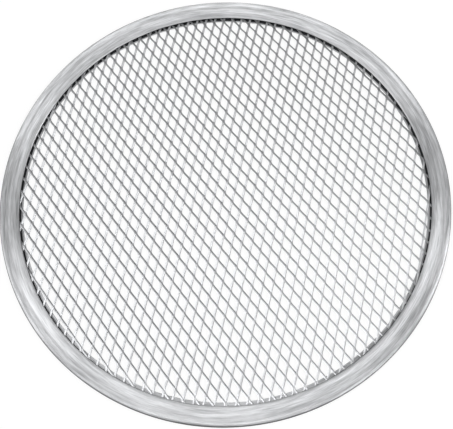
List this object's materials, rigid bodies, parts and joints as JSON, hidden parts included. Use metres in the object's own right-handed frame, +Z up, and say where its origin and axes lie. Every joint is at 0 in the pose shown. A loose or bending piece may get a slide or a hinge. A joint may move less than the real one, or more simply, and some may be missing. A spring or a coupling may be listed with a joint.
{
  "type": "round mesh baking tray",
  "caption": "Round baking tray for pizza: a flat disc of expanded aluminium mesh, gripped in a folded aluminium rim with a rounded outer edge.",
  "frame": {"origin": "centre of the flat underside of the rim, which the tray rests on", "axes": "+Z up along the disc's axis, +Y away from the viewer in the picture, +X to the right"},
  "size_m": [0.254, 0.254, 0.0032],
  "materials": {
    "rim": "brushed around the ring",
    "mesh": "satin, as slit and stretched"
  },
  "bodies": {
    "root": {"rim": "rim", "mesh": "mesh"}
  },
  "joints": []
}
